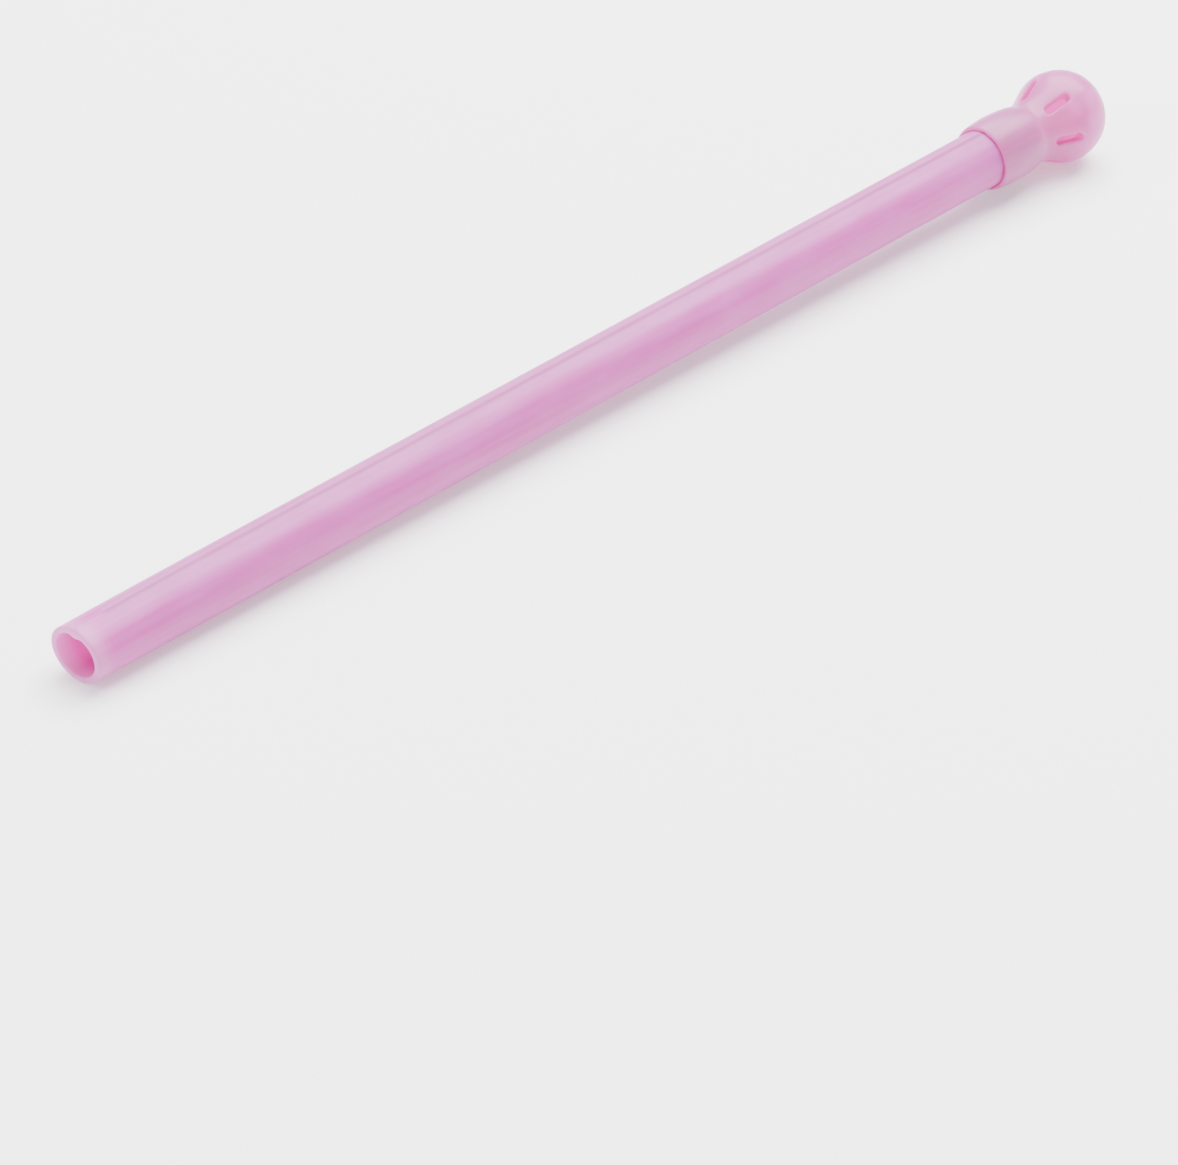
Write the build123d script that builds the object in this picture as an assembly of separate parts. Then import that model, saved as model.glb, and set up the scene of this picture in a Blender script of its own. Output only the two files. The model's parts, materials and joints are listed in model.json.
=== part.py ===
"""Disposable saliva ejector: a bendable suction tube with a wire in its wall, and a soft slotted tip.

Millimetres. The tube lies along +X: the open plug end is centred on the origin and the tip's nose is
at the far end. +Z is up, and the wire runs along the top of the tube. The tube bends in the XY plane,
so its bending stretch is cut into short straight links, each hinged to the next on a vertical axis.
"""
import os
from math import radians, tan

from build123d import *

# ---- driving sizes -------------------------------------------------------------------------------
TOTAL_LENGTH = 150.0      # plug end to nose

TUBE_OD = 6.5
TUBE_WALL = 0.7

WIRE_DIAMETER = 0.6
WIRE_OUTER_COVER = 0.25   # plastic between the wire and the outside of the tube
WIRE_INNER_COVER = 0.25   # plastic between the wire and the lumen
WIRE_SETBACK = 3.5        # each end of the wire stops this far inside its end of the tube
WIRE_CLEARANCE = 0.01     # radial, wire in its channel

BEND_COUNT = 12           # hinge lines along the bending stretch
BEND_PITCH = 7.0
BEND_LIMIT = 13.0         # degrees each way at each hinge line
FRONT_STRAIGHT = 13.5     # last hinge line to the tip's sleeve
HINGE_GAP = 0.26          # from a hinge line to the end of each of its two links

TIP_LENGTH = 17.5
SEAT_DEPTH = 6.3          # tube inside the tip's sleeve
BOND_GAP = 0.01           # radial, tube in the sleeve
SLEEVE_WALL = 0.5         # at the two ends of the sleeve
SLEEVE_BARREL = 0.2       # how much fuller its middle is
SLEEVE_RIM = 0.35         # rounding of the sleeve's rear rim
SLEEVE_SHOULDER = 1.4     # length of the slope from the sleeve down to the waist
WAIST_OFFSET = 1.2        # from the tube's seat to the narrowest section
WAIST_WALL = 0.85
HEAD_SWELL = 1.8          # radius of the head over the waist
HEAD_WALL = 1.3
NOSE_LENGTH = 4.4         # widest section of the head to the end of the nose
NOSE_HOLE_DIAMETER = 2.4
NOSE_HOLE_ROUND = 0.4

SLOT_COUNT = 6
SLOT_WIDTH = 1.0
SLOT_LENGTH = 3.2

# ---- places and radii that follow ----------------------------------------------------------------
tube_r = TUBE_OD / 2
lumen_r = tube_r - TUBE_WALL
wire_r = WIRE_DIAMETER / 2
wire_height = tube_r - WIRE_OUTER_COVER - wire_r
rib_r = wire_r + WIRE_INNER_COVER

tip_rear = TOTAL_LENGTH - TIP_LENGTH
tube_end = tip_rear + SEAT_DEPTH
waist_x = tube_end + WAIST_OFFSET
head_x = TOTAL_LENGTH - NOSE_LENGTH

bore_r = tube_r + BOND_GAP
sleeve_r = bore_r + SLEEVE_WALL
waist_r = lumen_r + WAIST_WALL
head_r = waist_r + HEAD_SWELL
chamber_r = head_r - HEAD_WALL
nose_r = NOSE_HOLE_DIAMETER / 2
nose_flat_r = nose_r + 2 * NOSE_HOLE_ROUND

first_bend = tip_rear - FRONT_STRAIGHT - (BEND_COUNT - 1) * BEND_PITCH
bend_lines = [first_bend + i * BEND_PITCH for i in range(BEND_COUNT)]

bevel = tan(radians(BEND_LIMIT / 2))
cut_half = 2 * tube_r     # half width and half height of the blocks that cut the links


# ---- tube and wire -------------------------------------------------------------------------------
def rod(radius, start, end, height=0.0):
    """A round bar along X."""
    return extrude(Plane.YZ.offset(start) * Pos(0, height) * Circle(radius), amount=end - start)


def tube():
    """The extruded tube: round outside, with a rib along the top of the lumen that holds the wire."""
    lumen = Circle(lumen_r) - Pos(0, wire_height) * Circle(rib_r)
    wall = extrude(Plane.YZ * (Circle(tube_r) - lumen), amount=tube_end)
    channel = rod(wire_r + WIRE_CLEARANCE, WIRE_SETBACK, tube_end - WIRE_SETBACK, wire_height)
    return wall - channel


def wire():
    return rod(wire_r, WIRE_SETBACK, tube_end - WIRE_SETBACK, wire_height)


def link_block(rear, front):
    """The space of one link, ridged at each hinge line so that two links close face to face."""
    outline = []
    if rear is None:
        outline += [(-1.0, cut_half), (-1.0, -cut_half)]
    else:
        ridge = rear + HINGE_GAP
        outline += [(ridge + bevel * cut_half, cut_half), (ridge, 0), (ridge + bevel * cut_half, -cut_half)]
    if front is None:
        outline += [(tube_end + 1.0, -cut_half), (tube_end + 1.0, cut_half)]
    else:
        ridge = front - HINGE_GAP
        outline += [(ridge - bevel * cut_half, -cut_half), (ridge, 0), (ridge - bevel * cut_half, cut_half)]
    return extrude(make_face(Polyline(*outline, close=True)), amount=cut_half, both=True)


# ---- tip -----------------------------------------------------------------------------------------
def tip_outline():
    """Two lobes: a barrelled sleeve over the tube, a waist, and a larger head with a blunt nose."""
    rim = tip_rear + SLEEVE_RIM
    shoulder = waist_x - SLEEVE_SHOULDER
    barrel = ThreePointArc((rim, sleeve_r), ((rim + shoulder) / 2, sleeve_r + SLEEVE_BARREL), (shoulder, sleeve_r))
    return make_face([
        Line((tip_rear, 0), (tip_rear, sleeve_r - SLEEVE_RIM)),
        CenterArc((rim, sleeve_r - SLEEVE_RIM), SLEEVE_RIM, 180, -90),
        barrel,
        Spline((shoulder, sleeve_r), (waist_x, waist_r), tangents=(barrel % 1, (1, 0))),
        Spline((waist_x, waist_r), (head_x, head_r), tangents=((1, 0), (1, 0))),
        EllipticalCenterArc((head_x, nose_flat_r), NOSE_LENGTH, head_r - nose_flat_r, arc_size=90),
        Line((TOTAL_LENGTH, nose_flat_r), (TOTAL_LENGTH, 0)),
        Line((TOTAL_LENGTH, 0), (tip_rear, 0)),
    ])


def tip_hollow():
    """The tube's seat, the passage through the waist, the chamber in the head and the nose hole."""
    seat = make_face(Polyline((tip_rear, 0), (tip_rear, bore_r), (tube_end, bore_r), (tube_end, 0), close=True))
    nose = make_face(Polyline((head_x, 0), (head_x, nose_r), (TOTAL_LENGTH, nose_r), (TOTAL_LENGTH, 0), close=True))
    chamber = make_face([
        Line((tube_end, 0), (tube_end, lumen_r)),
        Line((tube_end, lumen_r), (waist_x, lumen_r)),
        Spline((waist_x, lumen_r), (head_x, chamber_r), tangents=((1, 0), (1, 0))),
        EllipticalCenterArc((head_x, 0), NOSE_LENGTH - HEAD_WALL, chamber_r, arc_size=90),
        Line((TOTAL_LENGTH - HEAD_WALL, 0), (tube_end, 0)),
    ])
    return seat + chamber + nose


def side_slots():
    """Suction slots round the slope from the waist to the head."""
    slope = Plane(origin=((waist_x + head_x) / 2, 0, lumen_r / 2), x_dir=(1, 0, 0), z_dir=(0, 0, 1))
    slot = extrude(slope * SlotOverall(SLOT_LENGTH, SLOT_WIDTH), amount=head_r)
    return [slot.rotate(Axis.X, 360 / SLOT_COUNT * (i + 0.5)) for i in range(SLOT_COUNT)]


def tip_cap():
    section = tip_outline() - tip_hollow()
    mouth = section.vertices().sort_by(Axis.X)[-1]
    return revolve(fillet(mouth, NOSE_HOLE_ROUND), axis=Axis.X) - side_slots()


# ---- files ---------------------------------------------------------------------------------------
def write(shape, name):
    for index, solid in enumerate(shape.solids()):
        if index:
            raise ValueError(f"{name} came out in pieces")
        solid.label = name
        export_step(solid, f"parts/{name}.step")


os.makedirs("parts", exist_ok=True)
whole_tube = tube()
whole_wire = wire()
ends = [None, *bend_lines, None]
for i in range(BEND_COUNT + 1):
    place = "rear" if i == 0 else "front" if i == BEND_COUNT else f"link_{i}"
    block = link_block(ends[i], ends[i + 1])
    write(whole_tube & block, f"tube_{place}")
    write(whole_wire & block, f"wire_{place}")
write(tip_cap(), "tip_cap")

print("hinge lines at x =", [round(x, 3) for x in bend_lines])
print("tightest bend radius", round(BEND_PITCH / radians(BEND_LIMIT), 1), "mm")
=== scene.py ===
import json
from math import atan, cos, exp, pi, radians, sin

import bpy
import numpy as np
from mathutils import Matrix, Vector

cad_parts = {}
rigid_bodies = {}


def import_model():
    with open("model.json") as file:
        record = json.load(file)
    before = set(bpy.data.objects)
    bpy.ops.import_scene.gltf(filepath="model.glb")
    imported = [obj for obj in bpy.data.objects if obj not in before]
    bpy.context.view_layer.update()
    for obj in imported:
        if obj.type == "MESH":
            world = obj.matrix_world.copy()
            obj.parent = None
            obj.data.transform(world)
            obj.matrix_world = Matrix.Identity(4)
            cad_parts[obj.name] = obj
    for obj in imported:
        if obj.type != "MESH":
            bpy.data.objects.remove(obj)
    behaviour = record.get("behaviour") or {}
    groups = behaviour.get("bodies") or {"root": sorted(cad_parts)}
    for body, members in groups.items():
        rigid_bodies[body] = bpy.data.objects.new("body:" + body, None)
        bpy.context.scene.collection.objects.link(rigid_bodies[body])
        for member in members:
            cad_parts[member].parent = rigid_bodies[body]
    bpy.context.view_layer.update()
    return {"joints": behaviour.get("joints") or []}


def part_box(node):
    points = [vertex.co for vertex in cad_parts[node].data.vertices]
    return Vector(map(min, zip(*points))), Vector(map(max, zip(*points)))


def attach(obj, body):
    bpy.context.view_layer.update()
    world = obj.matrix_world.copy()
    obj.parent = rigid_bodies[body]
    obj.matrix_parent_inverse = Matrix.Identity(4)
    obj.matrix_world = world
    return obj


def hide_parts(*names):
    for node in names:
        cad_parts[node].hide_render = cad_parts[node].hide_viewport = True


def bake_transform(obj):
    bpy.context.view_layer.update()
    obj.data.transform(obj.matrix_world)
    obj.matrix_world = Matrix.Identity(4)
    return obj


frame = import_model()

MM = 0.001


# ==== Suction tube =====================================================================================
# One extrusion of soft milky pink vinyl, drawn round a wire that lies in a rib along the top of the lumen.
# It is cut to length with a blade, which leaves the plug end a little oval; its colour is made paler towards
# the rim. It bends wherever it is pushed, so it is made here as one length for each hinge line, and a plain
# length at each end.

TUBE_SIDES = 120
TUBE_STEP = 0.5 * MM            # mesh spacing along the tube
RIM_STEPS = 6
RIM_ROUND = 0.12 * MM

RIDGE_HEIGHT = 0.07 * MM        # the wire lifts the outside of the tube very slightly
RIDGE_WIDTH = 0.42 * MM
RIB_WIDTH = 0.62 * MM
WIRE_COVER = 0.25 * MM          # vinyl between the wire and the lumen
SQUASH_LENGTH = 6.5 * MM        # how far the blade's squeeze runs up the tube
SQUASH_WIDER = 0.075
SQUASH_FLATTER = 0.12
UNEVEN = 0.022 * MM             # drift of the drawn diameter
UNEVEN_PER_METRE = 75.0
TUBE_WALL = 0.7 * MM
WELD = 0.001 * MM               # points nearer than this are one point

tube_high = Vector(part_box("tube_rear")[1])
wire_low, wire_high = (Vector(c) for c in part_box("wire_rear"))
tube_radius = tube_high.z
lumen_radius = tube_radius - TUBE_WALL
wire_radius = (wire_high.z - wire_low.z) / 2
wire_height = (wire_high.z + wire_low.z) / 2
rib_depth = lumen_radius - (wire_height - wire_radius - WIRE_COVER)
tube_front_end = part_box("tube_front")[1][0]

bends = sorted(frame["joints"], key=lambda joint: joint["pos_m"][0])
bend_x = [joint["pos_m"][0] for joint in bends]
half_link = (bend_x[1] - bend_x[0]) / 2


class Signal:
    """The output of a node. Sums on it add Math nodes, and make() adds any other node to its tree."""

    def __init__(self, tree, socket=None):
        self.tree, self.socket = tree, socket

    def make(self, kind, settings=None, sockets=None, output=0):
        node = self.tree.nodes.new(kind)
        for name, value in (settings or {}).items():
            if name == "stops":
                stops = node.color_ramp.elements
                for place, colour in value[len(stops):]:
                    stops.new(place)
                for stop, (place, colour) in zip(stops, value):
                    stop.position, stop.color = place, colour
            else:
                setattr(node, name, value)
        for name, value in (sockets or {}).items():
            for part in value if isinstance(value, list) else [value]:
                if isinstance(part, Signal):
                    self.tree.links.new(part.socket, node.inputs[name])
                else:
                    node.inputs[name].default_value = part
        return Signal(self.tree, node.outputs[output] if node.outputs else None)

    def maths(self, operation, *values):
        return self.make("ShaderNodeMath", {"operation": operation}, dict(enumerate(values)))

    def __add__(self, other):
        return self.maths("ADD", self, other)

    def __sub__(self, other):
        return self.maths("SUBTRACT", self, other)

    def __rsub__(self, other):
        return self.maths("SUBTRACT", other, self)

    def __mul__(self, other):
        return self.maths("MULTIPLY", self, other)

    def __truediv__(self, other):
        return self.maths("DIVIDE", self, other)

    def __pow__(self, other):
        return self.maths("POWER", self, other)

    __radd__, __rmul__ = __add__, __mul__

    def bell(self, width):
        """1 where the signal is 0, falling away smoothly on both sides over the width."""
        return self.maths("EXPONENT", (self / width) ** 2 * -1.0)

    def ramp(self, low, high):
        """0 below low, 1 above high, and smooth between."""
        return self.make("ShaderNodeMapRange", {"interpolation_type": "SMOOTHSTEP"},
                         {"Value": self, "From Min": low, "From Max": high})

    def vector(self, y, z):
        return self.make("ShaderNodeCombineXYZ", None, {"X": self, "Y": y, "Z": z})

    def split(self):
        return [self.make("ShaderNodeSeparateXYZ", None, {"Vector": self}, axis) for axis in range(3)]


def new_tree(name, inputs):
    """A geometry tree with named inputs, each a name and a kind of socket, and its signals by name."""
    tree = bpy.data.node_groups.new(name, "GeometryNodeTree")
    tree.interface.new_socket("Geometry", in_out="OUTPUT", socket_type="NodeSocketGeometry")
    for label, kind in inputs.items():
        tree.interface.new_socket(label, in_out="INPUT", socket_type=kind)
    entry = tree.nodes.new("NodeGroupInput")
    return tree, {label: Signal(tree, entry.outputs[label]) for label in inputs}


def finish_tree(tree, geometry, material):
    """Every tree ends the same way: smooth faces, real geometry, and its material."""
    done = geometry.make("GeometryNodeSetShadeSmooth", None, {"Geometry": geometry})
    done = done.make("GeometryNodeRealizeInstances", None, {"Geometry": done})
    done = done.make("GeometryNodeSetMaterial", None, {"Geometry": done, "Material": material})
    done.make("NodeGroupOutput", None, {"Geometry": done})


def grown(name, tree, values):
    """The mesh that a tree makes with these input values, as a plain object."""
    seed = bpy.data.objects.new(name + "_seed", bpy.data.meshes.new(name + "_seed"))
    bpy.context.collection.objects.link(seed)
    modifier = seed.modifiers.new("grow", "NODES")
    modifier.node_group = tree
    for item in tree.interface.items_tree:
        if item.in_out == "INPUT":
            modifier[item.identifier] = values[item.name]
    bpy.context.view_layer.update()
    mesh = bpy.data.meshes.new_from_object(seed.evaluated_get(bpy.context.evaluated_depsgraph_get()))
    mesh.name = name
    seed.modifiers.remove(modifier)
    bpy.data.objects.remove(seed)
    piece = bpy.data.objects.new(name, mesh)
    bpy.context.collection.objects.link(piece)
    return piece


def squashed(x, y, z):
    """Where a point of the section goes when the blade has squeezed the plug end."""
    squeeze = x.maths("EXPONENT", x * (-1.0 / SQUASH_LENGTH))
    return x.vector(y * (1.0 + squeeze * SQUASH_WIDER), z * (1.0 - squeeze * SQUASH_FLATTER))


def tube_tree():
    """A length of tube wall from Start to End, with a cut rim at either end if asked for."""
    tree, given = new_tree("tube_wall", {
        "Start": "NodeSocketFloat", "End": "NodeSocketFloat", "Steps": "NodeSocketInt",
        "Radius": "NodeSocketFloat", "Lumen": "NodeSocketFloat",
        "Rear Rim": "NodeSocketBool", "Front Rim": "NodeSocketBool", "Vinyl": "NodeSocketMaterial",
    })
    start, end = given["Start"], given["End"]

    def sheet(steps, along_and_depth, flip, inside=0.0):
        """A grid rolled round the axis; along_and_depth gives x, and 0 outside to 1 inside, from u."""
        grid = start.make("GeometryNodeMeshGrid", None,
                          {"Size X": 1.0, "Size Y": 1.0, "Vertices X": steps, "Vertices Y": TUBE_SIDES + 1})
        place = grid.make("GeometryNodeInputPosition")
        u, v, _ = place.split()
        x, depth = along_and_depth(u + 0.5)
        angle = (v + 0.5) * (2 * pi)
        from_top = angle - pi / 2
        drift = x.vector(0.0, 0.0).make(
            "ShaderNodeTexNoise", {"noise_dimensions": "1D"},
            {"W": x, "Scale": UNEVEN_PER_METRE, "Detail": 1.0})
        outer = given["Radius"] + (from_top * given["Radius"]).bell(RIDGE_WIDTH) * RIDGE_HEIGHT
        outer = outer + (drift - 0.5) * (2 * UNEVEN)
        inner = given["Lumen"] - (from_top * given["Lumen"]).bell(RIB_WIDTH) * rib_depth
        r = outer + (inner - outer) * depth
        y, z = r * angle.maths("COSINE", angle), r * angle.maths("SINE", angle)
        rest = (x / MM).vector(y / MM, z / MM)
        kept = grid.make("GeometryNodeStoreNamedAttribute", {"data_type": "FLOAT_VECTOR", "domain": "POINT"},
                         {"Geometry": grid, "Name": "rest", "Value": rest})
        # 'inside' marks the inner sheet, which the vinyl paints deeper as shade.
        kept = kept.make("GeometryNodeStoreNamedAttribute", {"data_type": "FLOAT", "domain": "POINT"},
                         {"Geometry": kept, "Name": "inside", "Value": inside})
        rolled = kept.make("GeometryNodeSetPosition", None, {"Geometry": kept, "Position": squashed(x, y, z)})
        if flip:
            rolled = rolled.make("GeometryNodeFlipFaces", None, {"Mesh": rolled})
        return rolled

    def cut(edge, inward):
        """The cut rim at x = edge, rounded a little on both corners."""
        def shape(u):
            depth = 0.5 - u.maths("COSINE", u * pi) * 0.5
            return edge + inward * RIM_ROUND * (1.0 - u.maths("SINE", u * pi)), depth
        return shape

    def chosen(rim, sheet_of_rim):
        return sheet_of_rim.make("GeometryNodeSwitch", {"input_type": "GEOMETRY"},
                                 {"Switch": rim, "True": sheet_of_rim})

    rear, front = given["Rear Rim"], given["Front Rim"]
    first, last = start + rear * RIM_ROUND, end - front * RIM_ROUND
    parts = [
        sheet(given["Steps"], lambda u: (first + (last - first) * u, u * 0.0), True),
        sheet(given["Steps"], lambda u: (first + (last - first) * u, u * 0.0 + 1.0), False, inside=1.0),
        chosen(rear, sheet(RIM_STEPS + 1, cut(start, 1.0), False)),
        chosen(front, sheet(RIM_STEPS + 1, cut(end, -1.0), True)),
    ]
    wall = start.make("GeometryNodeJoinGeometry", None, {"Geometry": parts})
    wall = wall.make("GeometryNodeMergeByDistance", None, {"Geometry": wall, "Distance": WELD})
    finish_tree(tree, wall, given["Vinyl"])
    return tree


VINYL_IOR = 1.47
VINYL_SPECULAR = 0.3
SHEEN = 0.28
SHEEN_ROUGHNESS = 0.35
SHEEN_TINT = (0.950, 0.800, 0.980, 1)
GLOW_SHARE = 0.26
SKIN_BUMP = 0.32
SKIN_BUMP_DEPTH = 0.03 * MM

# The wire's dark line, a painted highlight beside it, and the paler rim, in millimetres across and along the
# tube.
LINE_ACROSS, LINE_WIDTH, LINE_SHARE = 0.1, 0.26, 0.75
GLINT_ACROSS, GLINT_WIDTH, GLINT_SHARE = 0.55, 0.22, 0.45
LINE_BEGINS, LINE_FULL = 3.2, 4.6
RIM_PALE_TO, RIM_GONE_BY, RIM_SHARE = 0.4, 2.6, 0.5
WIRE_SHADE = (0.300, 0.050, 0.240, 1)
# Pale colour for the painted highlight beside the wire's line and for the plug end's rim.
RIM_AND_HIGHLIGHT_PALE = (0.820, 0.480, 0.780, 1)


def vinyl(name, pale, deep, inside_shade, through, clearness, satin, wire_line):
    """Soft milky vinyl: satin half-clear skin, inner walls painted deeper as shade, a glow when lit from
    behind.
    """
    material = bpy.data.materials.new(name)
    material.use_nodes = True
    tree = material.node_tree
    tree.nodes.clear()
    root = Signal(tree)
    rest = root.make("ShaderNodeAttribute", {"attribute_name": "rest"}, output=1)
    x, y, z = rest.split()

    drawn = root.make("ShaderNodeTexNoise", None, {
        "Vector": (x * 0.035).vector(y * 1.6, z * 1.6), "Scale": 1.0, "Detail": 3.0, "Roughness": 0.55})
    cloud = root.make("ShaderNodeTexNoise", None, {
        "Vector": (x * 0.16).vector(y * 0.5, z * 0.5), "Scale": 1.0, "Detail": 2.0})
    grain = root.make("ShaderNodeTexNoise", None, {"Vector": rest, "Scale": 5.0, "Detail": 2.0})
    inside = root.make("ShaderNodeAttribute", {"attribute_name": "inside"}, output=2)

    depth = drawn.ramp(0.3, 0.72) * 0.45 + cloud.ramp(0.3, 0.7) * 0.35
    colour = root.make("ShaderNodeMix", {"data_type": "RGBA"},
                       {"Factor": depth, 6: pale, 7: deep}, output=2)
    # The inner walls are painted deeper: painted shade inside the lumen and the chamber.
    colour = root.make("ShaderNodeMix", {"data_type": "RGBA"},
                       {"Factor": inside, 6: colour, 7: inside_shade}, output=2)
    if wire_line:
        line = (y + LINE_ACROSS).bell(LINE_WIDTH) * z.ramp(0.0, 1.0) * x.ramp(LINE_BEGINS, LINE_FULL)
        colour = root.make("ShaderNodeMix", {"data_type": "RGBA"},
                           {"Factor": line * LINE_SHARE, 6: colour, 7: WIRE_SHADE}, output=2)
        # Painted highlight: a paler streak along the tube beside the wire's line.
        glint = (y - GLINT_ACROSS).bell(GLINT_WIDTH) * z.ramp(0.0, 1.0) * x.ramp(LINE_BEGINS, LINE_FULL)
        # The plug end is made paler towards its rim, over its last few millimetres.
        rim = 1.0 - x.ramp(RIM_PALE_TO, RIM_GONE_BY)
        rim_and_highlight = glint.maths("MAXIMUM", glint * GLINT_SHARE, rim * RIM_SHARE)
        colour = root.make("ShaderNodeMix", {"data_type": "RGBA"},
                           {"Factor": rim_and_highlight, 6: colour, 7: RIM_AND_HIGHLIGHT_PALE}, output=2)

    height = drawn * 0.6 + grain * 0.12
    bump = root.make("ShaderNodeBump", None, {
        "Strength": SKIN_BUMP, "Distance": SKIN_BUMP_DEPTH, "Height": height})
    skin = root.make("ShaderNodeBsdfPrincipled", None, {
        "Base Color": colour, "Roughness": satin + grain * 0.14, "Normal": bump, "IOR": VINYL_IOR,
        "Specular IOR Level": VINYL_SPECULAR, "Transmission Weight": clearness,
        "Sheen Weight": SHEEN, "Sheen Roughness": SHEEN_ROUGHNESS, "Sheen Tint": SHEEN_TINT})
    glow = root.make("ShaderNodeBsdfTranslucent", None, {"Color": through})
    mixed = root.make("ShaderNodeMixShader", None, {0: GLOW_SHARE, 1: skin, 2: glow})
    root.make("ShaderNodeOutputMaterial", None, {"Surface": mixed})
    return material


TUBE_PALE = (0.760, 0.200, 0.720, 1)
TUBE_DEEP = (0.650, 0.085, 0.510, 1)
# Painted shade: the inner wall's colour, deeper than the outside.
TUBE_INSIDE_SHADE = (0.660, 0.045, 0.370, 1)
TUBE_THROUGH = (0.880, 0.100, 0.580, 1)
TUBE_CLEARNESS = 0.42
TUBE_SATIN = 0.34

tube_vinyl = vinyl("tube_vinyl", TUBE_PALE, TUBE_DEEP, TUBE_INSIDE_SHADE, TUBE_THROUGH,
                   TUBE_CLEARNESS, TUBE_SATIN, wire_line=True)
tube_wall_tree = tube_tree()


def tube_length(name, start, end, rear_rim=False, front_rim=False):
    piece = grown(name, tube_wall_tree, {
        "Start": start, "End": end, "Steps": round((end - start) / TUBE_STEP) + 1,
        "Radius": tube_radius, "Lumen": lumen_radius,
        "Rear Rim": rear_rim, "Front Rim": front_rim, "Vinyl": tube_vinyl,
    })
    return piece


rear_body, front_body = bends[0]["parent"], bends[-1]["child"]
plug = tube_length("tube_plug_end", 0.0, bend_x[0] - half_link, rear_rim=True)
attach(plug, rear_body)
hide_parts("tube_rear")

for number, bend in enumerate(bends, 1):
    x = bend["pos_m"][0]
    length = tube_length(f"tube_bend_{number}", x - half_link, x + half_link)
    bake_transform(length)
    if bend["child"] != front_body:
        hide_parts("tube_" + bend["child"])

seated = tube_length("tube_seated_end", bend_x[-1] + half_link, tube_front_end, front_rim=True)
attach(seated, front_body)
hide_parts("tube_front")


# ==== Shape-holding wire ===============================================================================
# One soft annealed steel wire, fed into the extrusion so that the vinyl closes round it. It stops a few
# millimetres inside each end of the tube, and it is what keeps a bend in.

WIRE_SIDES = 20
STEEL_PALE = (0.62, 0.57, 0.54, 1)
STEEL_BROWN = (0.50, 0.40, 0.36, 1)
wire_steel = bpy.data.materials.new("core_wire")
wire_steel.use_nodes = True
wire_steel.node_tree.nodes.clear()
steel = Signal(wire_steel.node_tree)
wire_rest = steel.make("ShaderNodeAttribute", {"attribute_name": "rest"}, output=1)
along, across, up = wire_rest.split()
die_marks = steel.make("ShaderNodeTexNoise", None, {
    "Vector": (along * 0.2).vector(across * 14.0, up * 14.0), "Scale": 1.0, "Detail": 2.0})
anneal = steel.make("ShaderNodeTexNoise", None, {"Vector": wire_rest, "Scale": 0.35})
steel_colour = steel.make("ShaderNodeMix", {"data_type": "RGBA"}, {
    "Factor": anneal.ramp(0.35, 0.7), 6: STEEL_PALE, 7: STEEL_BROWN}, output=2)
drawn_bump = steel.make("ShaderNodeBump", None, {"Strength": 0.3, "Distance": 0.01 * MM, "Height": die_marks})
steel_skin = steel.make("ShaderNodeBsdfPrincipled", None, {
    "Base Color": steel_colour, "Metallic": 1.0, "Roughness": die_marks * 0.2 + 0.34, "Normal": drawn_bump})
steel.make("ShaderNodeOutputMaterial", None, {"Surface": steel_skin})


def wire_tree():
    """A length of wire from Start to End at the given height, following the squeezed plug end."""
    tree, given = new_tree("core_wire", {
        "Start": "NodeSocketFloat", "End": "NodeSocketFloat", "Steps": "NodeSocketInt",
        "Radius": "NodeSocketFloat", "Height": "NodeSocketFloat", "Steel": "NodeSocketMaterial"})
    start, end, height = given["Start"], given["End"], given["Height"]
    line = start.make("GeometryNodeCurvePrimitiveLine", None, {
        "Start": start.vector(0.0, height), "End": end.vector(0.0, height)})
    line = line.make("GeometryNodeResampleCurve", None, {"Curve": line, "Count": given["Steps"]})
    section = line.make("GeometryNodeCurvePrimitiveCircle", None, {
        "Resolution": WIRE_SIDES, "Radius": given["Radius"]})
    rod = line.make("GeometryNodeCurveToMesh", None, {
        "Curve": line, "Profile Curve": section, "Fill Caps": True})
    place = rod.make("GeometryNodeInputPosition")
    rest = place.make("ShaderNodeVectorMath", {"operation": "SCALE"}, {"Vector": place, "Scale": 1 / MM})
    rod = rod.make("GeometryNodeStoreNamedAttribute", {"data_type": "FLOAT_VECTOR", "domain": "POINT"},
                   {"Geometry": rod, "Name": "rest", "Value": rest})
    rod = rod.make("GeometryNodeSetPosition", None, {"Geometry": rod, "Position": squashed(*place.split())})
    finish_tree(tree, rod, given["Steel"])
    return tree


core_wire_tree = wire_tree()
wire_start, wire_end = wire_low.x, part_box("wire_front")[1][0]


def wire_length(name, start, end):
    piece = grown(name, core_wire_tree, {
        "Start": start, "End": end, "Steps": round((end - start) / TUBE_STEP) + 1,
        "Radius": wire_radius, "Height": wire_height, "Steel": wire_steel})
    return piece


rear_wire = wire_length("wire_plug_end", wire_start, bend_x[0] - half_link)
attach(rear_wire, rear_body)
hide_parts("wire_rear")

for number, bend in enumerate(bends, 1):
    x = bend["pos_m"][0]
    length = wire_length(f"wire_bend_{number}", x - half_link, x + half_link)
    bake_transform(length)
    if bend["child"] != front_body:
        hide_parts("wire_" + bend["child"])

front_wire = wire_length("wire_seated_end", bend_x[-1] + half_link, wire_end)
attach(front_wire, front_body)
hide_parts("wire_front")


# ==== Tip cap ==========================================================================================
# One soft vinyl moulding, pushed over the tube and bonded: a barrelled sleeve, a waist and a larger round
# head. Saliva goes in by six slots behind the head and a hole in the nose. It is paler than the tube.

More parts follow.
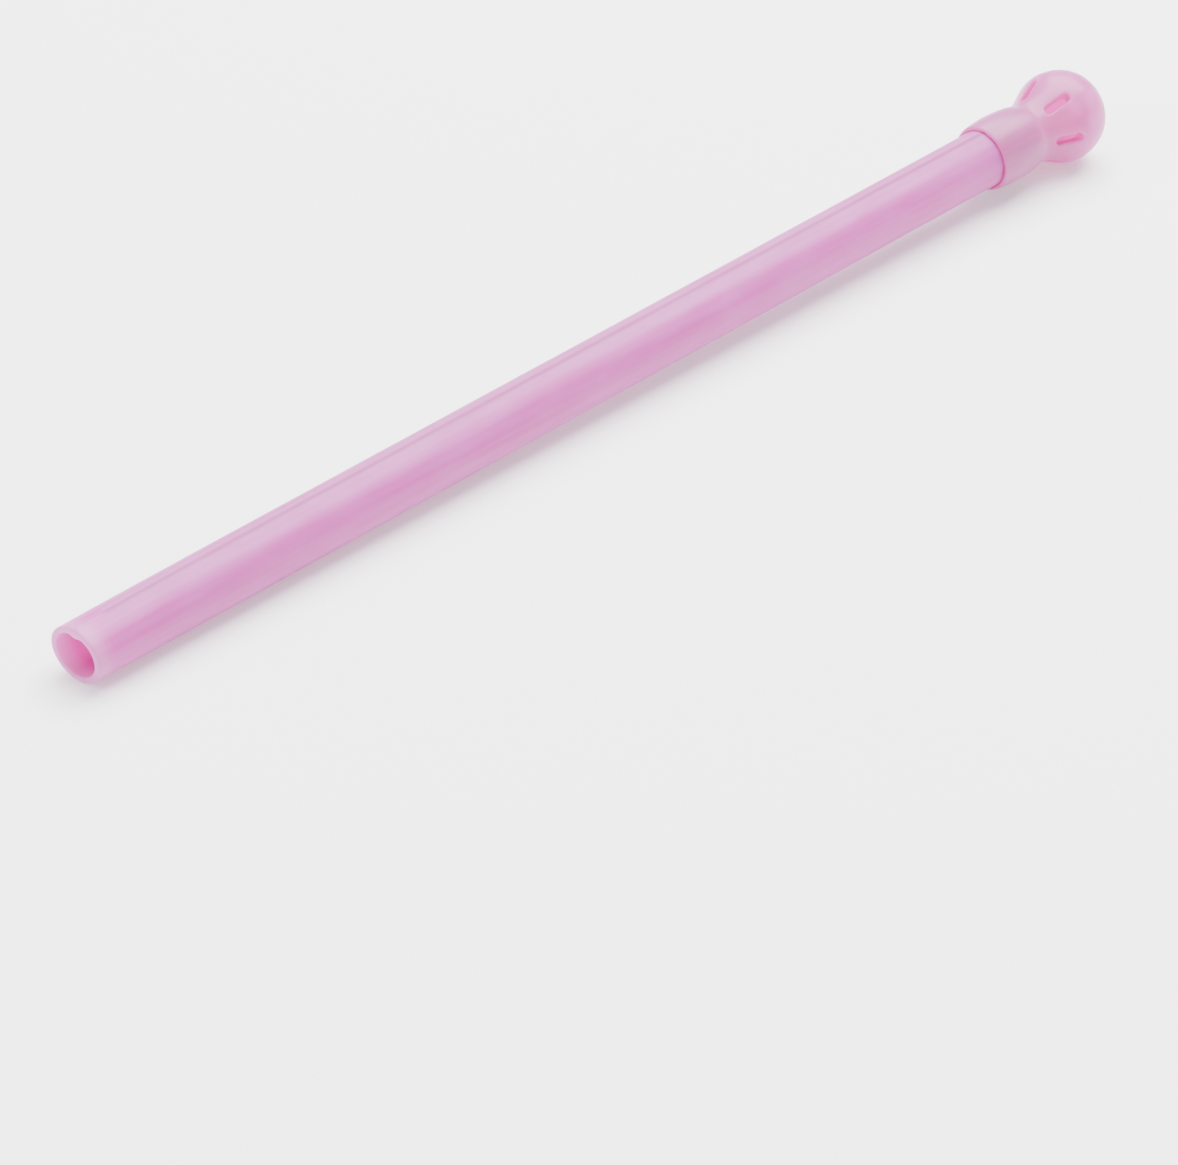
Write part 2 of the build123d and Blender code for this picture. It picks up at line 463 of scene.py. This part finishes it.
TIP_SIDES = 144
TIP_VOXEL = 0.12 * MM
TIP_SOFTENING = 9               # smoothing passes, which round every edge as the mould does
SEAT_GAP = 0.05 * MM
SLEEVE_WALL = 0.5 * MM
SLEEVE_BARREL = 0.2 * MM
SLEEVE_RIM = 0.35 * MM
SLEEVE_SHOULDER = 1.4 * MM
WAIST_OFFSET = 1.2 * MM
WAIST_WALL = 0.85 * MM
HEAD_WALL = 1.3 * MM
NOSE_LENGTH = 4.4 * MM
NOSE_HOLE = 1.2 * MM
NOSE_ROUND = 0.4 * MM
SLOT_COUNT = 6
SLOT_WIDTH = 1.0 * MM
SLOT_LENGTH = 3.2 * MM

tip_low, tip_high = (Vector(c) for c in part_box("tip_cap"))
waist_x = tube_front_end + WAIST_OFFSET
head_x = tip_high.x - NOSE_LENGTH
sleeve_radius = tube_radius + SLEEVE_WALL
waist_radius = lumen_radius + WAIST_WALL
head_radius = tip_high.z
chamber_radius = head_radius - HEAD_WALL
nose_flat = NOSE_HOLE + 2 * NOSE_ROUND


def swell(x0, r0, x1, r1, count=14):
    """A smooth run from one radius to another, level at both ends."""
    for t in np.linspace(0, 1, count):
        yield x0 + (x1 - x0) * t, r0 + (r1 - r0) * t * t * (3 - 2 * t)


def quarter(x, r, length, rise, start, end, count=14):
    """Part of an ellipse about (x, r), from one angle to another in degrees."""
    for a in np.radians(np.linspace(start, end, count)):
        yield x + length * cos(a), r + rise * sin(a)


def barrel(x0, x1, radius, count=12):
    for t in np.linspace(0, 1, count):
        yield x0 + (x1 - x0) * t, radius + SLEEVE_BARREL * (1 - (2 * t - 1) ** 2)


rim_x = tip_low.x + SLEEVE_RIM
shoulder_x = waist_x - SLEEVE_SHOULDER
tip_outline = [
    *quarter(rim_x, sleeve_radius - SLEEVE_RIM, SLEEVE_RIM, SLEEVE_RIM, 180, 90, 6),
    *barrel(rim_x, shoulder_x, sleeve_radius),
    *swell(shoulder_x, sleeve_radius, waist_x, waist_radius),
    *swell(waist_x, waist_radius, head_x, head_radius),
    *quarter(head_x, nose_flat, NOSE_LENGTH, head_radius - nose_flat, 90, 0),
    *quarter(tip_high.x - NOSE_ROUND, NOSE_HOLE + NOSE_ROUND, NOSE_ROUND, NOSE_ROUND, 0, -90, 6),
    *((x, r) for x, r in quarter(head_x, 0, NOSE_LENGTH - HEAD_WALL, chamber_radius, 0, 90, 20)
      if r > NOSE_HOLE),
    *swell(head_x, chamber_radius, waist_x, lumen_radius),
    (tube_front_end, lumen_radius),
    (tube_front_end, tube_radius + SEAT_GAP),
    (tip_low.x, tube_radius + SEAT_GAP),
]
outline = [p for p, q in zip(tip_outline, tip_outline[1:] + tip_outline[:1])
           if (Vector(p) - Vector(q)).length > 0.005 * MM]
turns = [2 * pi * i / TIP_SIDES for i in range(TIP_SIDES)]
points = [(x, r * cos(a), r * sin(a)) for a in turns for x, r in outline]
n = len(outline)
quads = [(i * n + j, i * n + (j + 1) % n, (i + 1) % TIP_SIDES * n + (j + 1) % n, (i + 1) % TIP_SIDES * n + j)
         for i in range(TIP_SIDES) for j in range(n)]
tip_mesh = bpy.data.meshes.new("tip_cap_soft")
tip_mesh.from_pydata(points, [], quads)
tip = bpy.data.objects.new("tip_cap_soft", tip_mesh)
bpy.context.collection.objects.link(tip)
bpy.context.view_layer.objects.active = tip
tip.select_set(True)
bpy.ops.object.mode_set(mode="EDIT")
bpy.ops.mesh.select_all(action="SELECT")
bpy.ops.mesh.normals_make_consistent(inside=False)
bpy.ops.object.mode_set(mode="OBJECT")


def slot_tree():
    """The steel blades of the mould that leave the slots: one rounded bar, repeated round the axis."""
    tree, given = new_tree("slot_blades", {
        "Count": "NodeSocketInt", "Length": "NodeSocketFloat", "Width": "NodeSocketFloat",
        "Along": "NodeSocketFloat", "Foot": "NodeSocketFloat", "Top": "NodeSocketFloat",
        "Vinyl": "NodeSocketMaterial"})
    along, foot, top = given["Along"], given["Foot"], given["Top"]
    outline = along.make("GeometryNodeCurvePrimitiveQuadrilateral", None, {
        "Width": given["Length"], "Height": given["Width"]})
    outline = outline.make("GeometryNodeFilletCurve", {"mode": "POLY"}, {
        "Curve": outline, "Count": 8, "Radius": given["Width"] * 0.499})
    face = outline.make("GeometryNodeFillCurve", {"mode": "NGONS"}, {"Curve": outline})
    face = face.make("GeometryNodeTransform", None, {
        "Geometry": face, "Translation": along.vector(0.0, foot)})
    bar = face.make("GeometryNodeExtrudeMesh", None, {
        "Mesh": face, "Offset": (along * 0.0).vector(0.0, 1.0), "Offset Scale": top - foot})
    base = face.make("GeometryNodeFlipFaces", None, {"Mesh": face})
    bar = bar.make("GeometryNodeJoinGeometry", None, {"Geometry": [bar, base]})
    bar = bar.make("GeometryNodeMergeByDistance", None, {"Geometry": bar, "Distance": WELD})
    spots = bar.make("GeometryNodeMeshLine", None, {"Count": given["Count"], "Offset": (0.0, 0.0, 0.0)})
    index = spots.make("GeometryNodeInputIndex")
    turn = ((index + 0.5) * (2 * pi) / given["Count"]).vector(0.0, 0.0)
    ring = spots.make("GeometryNodeInstanceOnPoints", None, {
        "Points": spots, "Instance": bar, "Rotation": turn})
    finish_tree(tree, ring, given["Vinyl"])
    return tree


TIP_PALE = (0.810, 0.340, 0.780, 1)
TIP_DEEP = (0.750, 0.220, 0.650, 1)
# Painted shade: the colour of the sleeve's, waist's and chamber's inner walls, deeper than the outside.
TIP_INSIDE_SHADE = (0.640, 0.035, 0.300, 1)
TIP_THROUGH = (0.900, 0.130, 0.560, 1)
TIP_CLEARNESS = 0.66
TIP_SATIN = 0.24
tip_vinyl = vinyl("tip_vinyl", TIP_PALE, TIP_DEEP, TIP_INSIDE_SHADE, TIP_THROUGH,
                  TIP_CLEARNESS, TIP_SATIN, wire_line=False)

blades = grown("slot_blades", slot_tree(), {
    "Count": SLOT_COUNT, "Length": SLOT_LENGTH, "Width": SLOT_WIDTH, "Along": (waist_x + head_x) / 2,
    "Foot": lumen_radius / 2, "Top": 1.2 * head_radius, "Vinyl": tip_vinyl})
cut = tip.modifiers.new("slots", "BOOLEAN")
cut.operation, cut.solver, cut.object = "DIFFERENCE", "EXACT", blades
soften = tip.modifiers.new("skin", "REMESH")
soften.mode, soften.voxel_size, soften.use_smooth_shade = "VOXEL", TIP_VOXEL, True
relax = tip.modifiers.new("soften", "SMOOTH")
relax.factor, relax.iterations = 0.5, TIP_SOFTENING
soft_mesh = bpy.data.meshes.new_from_object(tip.evaluated_get(bpy.context.evaluated_depsgraph_get()))
tip.modifiers.clear()
tip.data = soft_mesh
bpy.data.objects.remove(blades)
kept = soft_mesh.attributes.new("rest", "FLOAT_VECTOR", "POINT")
spots = np.empty(3 * len(soft_mesh.vertices), np.float32)
soft_mesh.vertices.foreach_get("co", spots)
kept.data.foreach_set("vector", spots / MM)
# Faces that look in toward the axis are marked 'inside', and the vinyl paints them deeper as shade.
facing = np.empty(3 * len(soft_mesh.vertices), np.float32)
soft_mesh.vertices.foreach_get("normal", facing)
radial = spots.reshape(-1, 3) * (0, 1, 1)
outward = (radial * facing.reshape(-1, 3)).sum(1) / np.linalg.norm(radial, axis=1)
inner = soft_mesh.attributes.new("inside", "FLOAT", "POINT")
inner.data.foreach_set("value", np.clip(0.5 - 2.5 * outward, 0, 1).astype(np.float32))
soft_mesh.materials.clear()
soft_mesh.materials.append(tip_vinyl)
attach(tip, front_body)
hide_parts("tip_cap")


# ==== Table and light ==================================================================================
# A plain pale table. The tube lies with its rim and its head both touching, so the table is level with
# those two and not with the tube's axis. It falls away very slightly on both sides, which leaves room for
# the head when the tube is bent right round. Two broad lights and a pale surround give soft, low shadows.

TABLE_SIZE = 4.0
TABLE_STRIPS = 400
TABLE_FALL = 2.4 * MM
TABLE_FALL_WIDTH = 65.0 * MM
TABLE_BELOW = 1.001             # the table is this many tube radii down at the plug end
lean = atan((head_radius - tube_radius) / head_x)
table_mesh = bpy.data.meshes.new("table")
half = TABLE_SIZE / 2
strip_edges = [(y, -TABLE_FALL * (1 - exp(-(y / TABLE_FALL_WIDTH) ** 2)))
               for y in np.linspace(-half, half, TABLE_STRIPS + 1)]
table_mesh.from_pydata([(x, y, z) for y, z in strip_edges for x in (-half, half)], [],
                       [(2 * i, 2 * i + 1, 2 * i + 3, 2 * i + 2) for i in range(TABLE_STRIPS)])
table_mesh.shade_smooth()
table = bpy.data.objects.new("table", table_mesh)
bpy.context.collection.objects.link(table)
table_mesh.transform(Matrix.Translation((0, 0, -tube_radius * TABLE_BELOW)) @ Matrix.Rotation(lean, 4, "Y"))

card = bpy.data.materials.new("table")
card.use_nodes = True
card.node_tree.nodes.clear()
board = Signal(card.node_tree)
place = board.make("ShaderNodeTexCoord", output=3)
tone = board.make("ShaderNodeTexNoise", None, {"Vector": place, "Scale": 9.0, "Detail": 2.0})
board_colour = board.make("ShaderNodeMix", {"data_type": "RGBA"}, {
    "Factor": tone, 6: (0.88, 0.88, 0.885, 1), 7: (0.91, 0.91, 0.915, 1)}, output=2)
board_skin = board.make("ShaderNodeBsdfPrincipled", None, {
    "Base Color": board_colour, "Roughness": 0.75,
    "Emission Color": (1.0, 1.0, 1.0, 1), "Emission Strength": 0.4})
board.make("ShaderNodeOutputMaterial", None, {"Surface": board_skin})
table_mesh.materials.append(card)

world = bpy.data.worlds.new("surround")
bpy.context.scene.world = world
world.use_nodes = True
surround = world.node_tree.nodes["Background"]
surround.inputs["Color"].default_value = (1.0, 1.0, 1.0, 1)
surround.inputs["Strength"].default_value = 0.8

middle = Vector(((tip_high.x) / 2, 0, 0))


def soft_light(name, offset, size, power):
    lamp = bpy.data.lights.new(name, "AREA")
    lamp.size, lamp.energy = size, power
    holder = bpy.data.objects.new(name, lamp)
    bpy.context.collection.objects.link(holder)
    holder.location = middle + Vector(offset)
    holder.rotation_euler = (middle - holder.location).to_track_quat("-Z", "Y").to_euler()


soft_light("overhead", (0.34, 0.14, 0.74), 0.9, 40.0)
soft_light("side", (-0.60, 0.15, 0.45), 0.5, 5.0)


# ==== Camera ===========================================================================================
# The plug end is near and low on the left, and the tube runs away up to the right, seen from a little
# above with a long lens. The camera is placed from where the plug end sits in its view.

TURN = radians(46.0)            # how far the tube runs away from the picture plane
TILT = radians(34.0)
FOCUS = 4.88                    # focal length over the picture's width
AWAY = 0.55
PLUG_RIGHT = -0.0492
PLUG_UP = -0.0070

forward = Vector((sin(TURN) * cos(TILT), cos(TURN) * cos(TILT), -sin(TILT)))
right = Vector((cos(TURN), -sin(TURN), 0))
upward = right.cross(forward)
lens = bpy.data.cameras.new("camera")
lens.sensor_width = 36.0
lens.lens = FOCUS * lens.sensor_width
camera = bpy.data.objects.new("camera", lens)
bpy.context.collection.objects.link(camera)
camera.matrix_world = Matrix.Translation(-right * PLUG_RIGHT - upward * PLUG_UP - forward * AWAY) @ Matrix(
    (right, upward, -forward)).transposed().to_4x4()
bpy.context.scene.camera = camera
